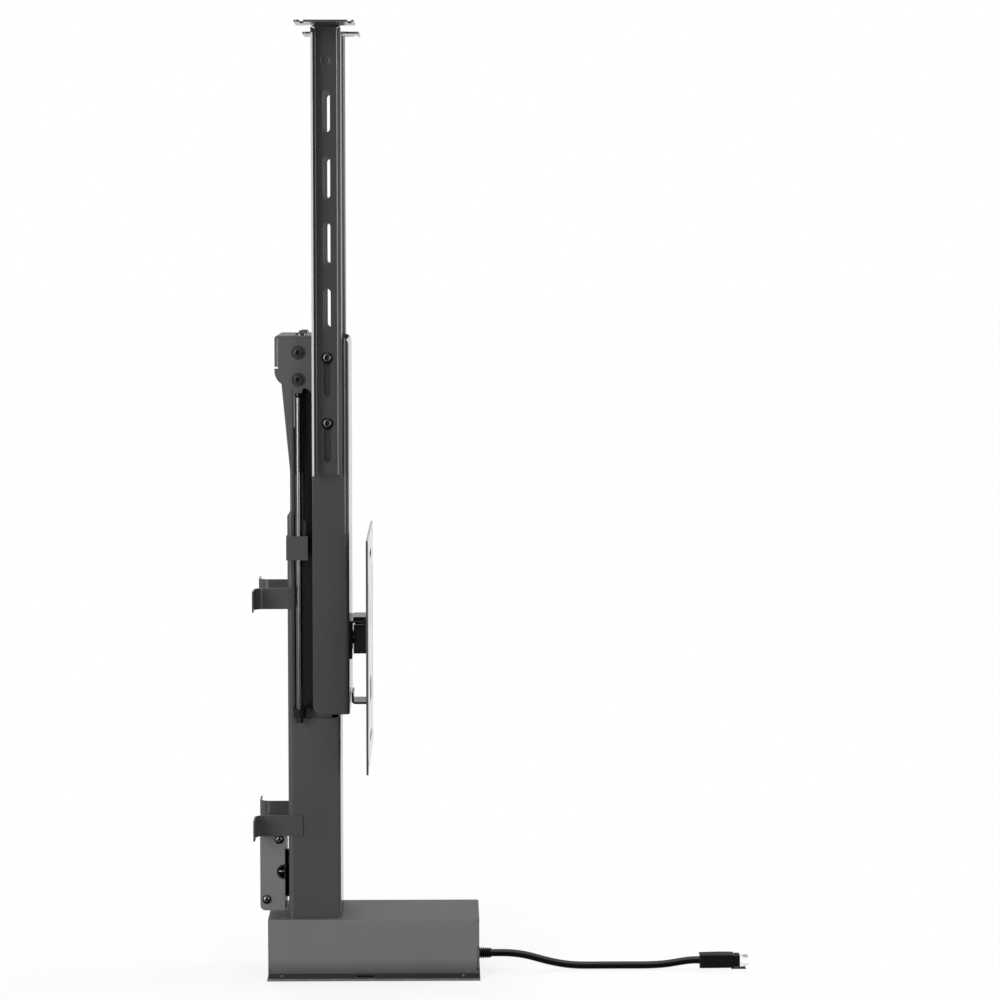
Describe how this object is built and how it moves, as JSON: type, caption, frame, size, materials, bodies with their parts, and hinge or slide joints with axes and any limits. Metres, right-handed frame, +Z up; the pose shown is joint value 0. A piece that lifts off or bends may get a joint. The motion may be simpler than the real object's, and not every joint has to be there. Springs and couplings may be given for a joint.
{
  "type": "television lift",
  "caption": "Motorised television lift: a foot and column, an inner column, a belt-driven carriage with a television plate, and two slotted lid arms.",
  "frame": {"origin": "on the floor, under the middle of the outer column, at the underside of the floor plate", "axes": "+Z up along the column, +X towards the television, +Y to the right-hand arm when seen from behind"},
  "size_m": [0.4761, 0.255, 0.9082],
  "materials": {
    "dark_paint": "satin powder coat",
    "foot_paint": "matt powder coat",
    "black_plastic": "matt moulded",
    "black_steel": "black zinc",
    "black_rod": "polished black oxide",
    "bare_steel": "zinc plated",
    "aluminium": "cast",
    "motor_case": "satin",
    "brass": "turned",
    "board": "coated board",
    "belt_rubber": "matt",
    "cord_jacket": "satin",
    "clear_plastic": "clear moulded"
  },
  "bodies": {
    "base": {"base_floor_plate": "foot_paint", "base_cover": "foot_paint", "base_front_panel": "foot_paint", "base_rear_panel": "foot_paint", "base_screws": "bare_steel", "outer_column": "dark_paint", "column_guides": "black_plastic", "motor": "motor_case", "gearbox": "aluminium", "spindle_bearing": "bare_steel", "rod_clamp_left": "dark_paint", "rod_clamp_right": "dark_paint", "stop_rod_left": "black_rod", "stop_rod_right": "black_rod", "rod_tips": "black_plastic", "rod_feet": "black_steel", "rod_nuts": "black_steel", "upper_strap_left": "dark_paint", "upper_strap_right": "dark_paint", "lower_strap_left": "dark_paint", "lower_strap_right": "dark_paint", "control_box_cover": "foot_paint", "control_box_base": "foot_paint", "control_box_screws": "black_steel", "cable_grommet": "black_plastic", "control_board": "board", "power_socket": "black_plastic", "belt_fittings": "dark_paint", "fixed_belts": "belt_rubber", "strain_relief": "black_plastic", "cord": "cord_jacket", "connector": "black_plastic", "connector_tip": "clear_plastic"},
    "spindle": {"spindle": "bare_steel"},
    "inner_column": {"inner_column": "dark_paint", "rear_rail": "dark_paint", "front_rail": "dark_paint", "head_bracket": "dark_paint", "head_blocks": "aluminium", "head_screws": "black_steel", "head_washers": "dark_paint", "column_cap": "bare_steel", "head_bolt": "black_steel", "pulley_pins": "bare_steel", "nut_carrier": "bare_steel", "spindle_nut": "brass"},
    "pulley_left": {"pulley_left": "black_plastic"},
    "pulley_right": {"pulley_right": "black_plastic"},
    "carriage": {"carriage_shell": "dark_paint", "carriage_guides": "black_plastic", "carriage_screws": "black_steel", "belt_anchors": "bare_steel", "lifting_belts": "belt_rubber", "hook_bracket": "black_steel", "plate_hanger": "dark_paint", "television_plate": "dark_paint", "arm_spacers": "black_steel", "arm_screws": "black_steel"},
    "lid_arm_left": {"lid_arm_left": "dark_paint"},
    "lid_arm_right": {"lid_arm_right": "dark_paint"}
  },
  "joints": [
    {"name": "lift_slide", "type": "slide", "parent": "base", "child": "inner_column", "axis": [0, 0, 1], "range_m": [0, 0.25], "deforming": ["fixed_belts"]},
    {"name": "carriage_slide", "type": "slide", "parent": "inner_column", "child": "carriage", "axis": [0, 0, 1], "range_m": [0, 0.25], "deforming": ["lifting_belts"]},
    {"name": "spindle_turn", "type": "hinge", "parent": "base", "child": "spindle", "pos_m": [0, 0, 0.2], "axis": [0, 0, 1], "range_deg": [-9001, 1]},
    {"name": "pulley_left_turn", "type": "hinge", "parent": "inner_column", "child": "pulley_left", "pos_m": [0, -0.043, 0.586], "axis": [0, 1, 0], "range_deg": [-1525, 1]},
    {"name": "pulley_right_turn", "type": "hinge", "parent": "inner_column", "child": "pulley_right", "pos_m": [0, 0.043, 0.586], "axis": [0, 1, 0], "range_deg": [-1525, 1]},
    {"name": "arm_left_slide", "type": "slide", "parent": "carriage", "child": "lid_arm_left", "axis": [0, 0, 1], "range_m": [0, 0.032]},
    {"name": "arm_right_slide", "type": "slide", "parent": "carriage", "child": "lid_arm_right", "axis": [0, 0, 1], "range_m": [0, 0.032]}
  ],
  "couplings": [
    {"joint": "carriage_slide", "follows": "lift_slide", "ratio": 1},
    {"joint": "spindle_turn", "follows": "lift_slide", "rad_per_m": -628.32},
    {"joint": "pulley_left_turn", "follows": "lift_slide", "rad_per_m": -106.38},
    {"joint": "pulley_right_turn", "follows": "lift_slide", "rad_per_m": -106.38}
  ]
}
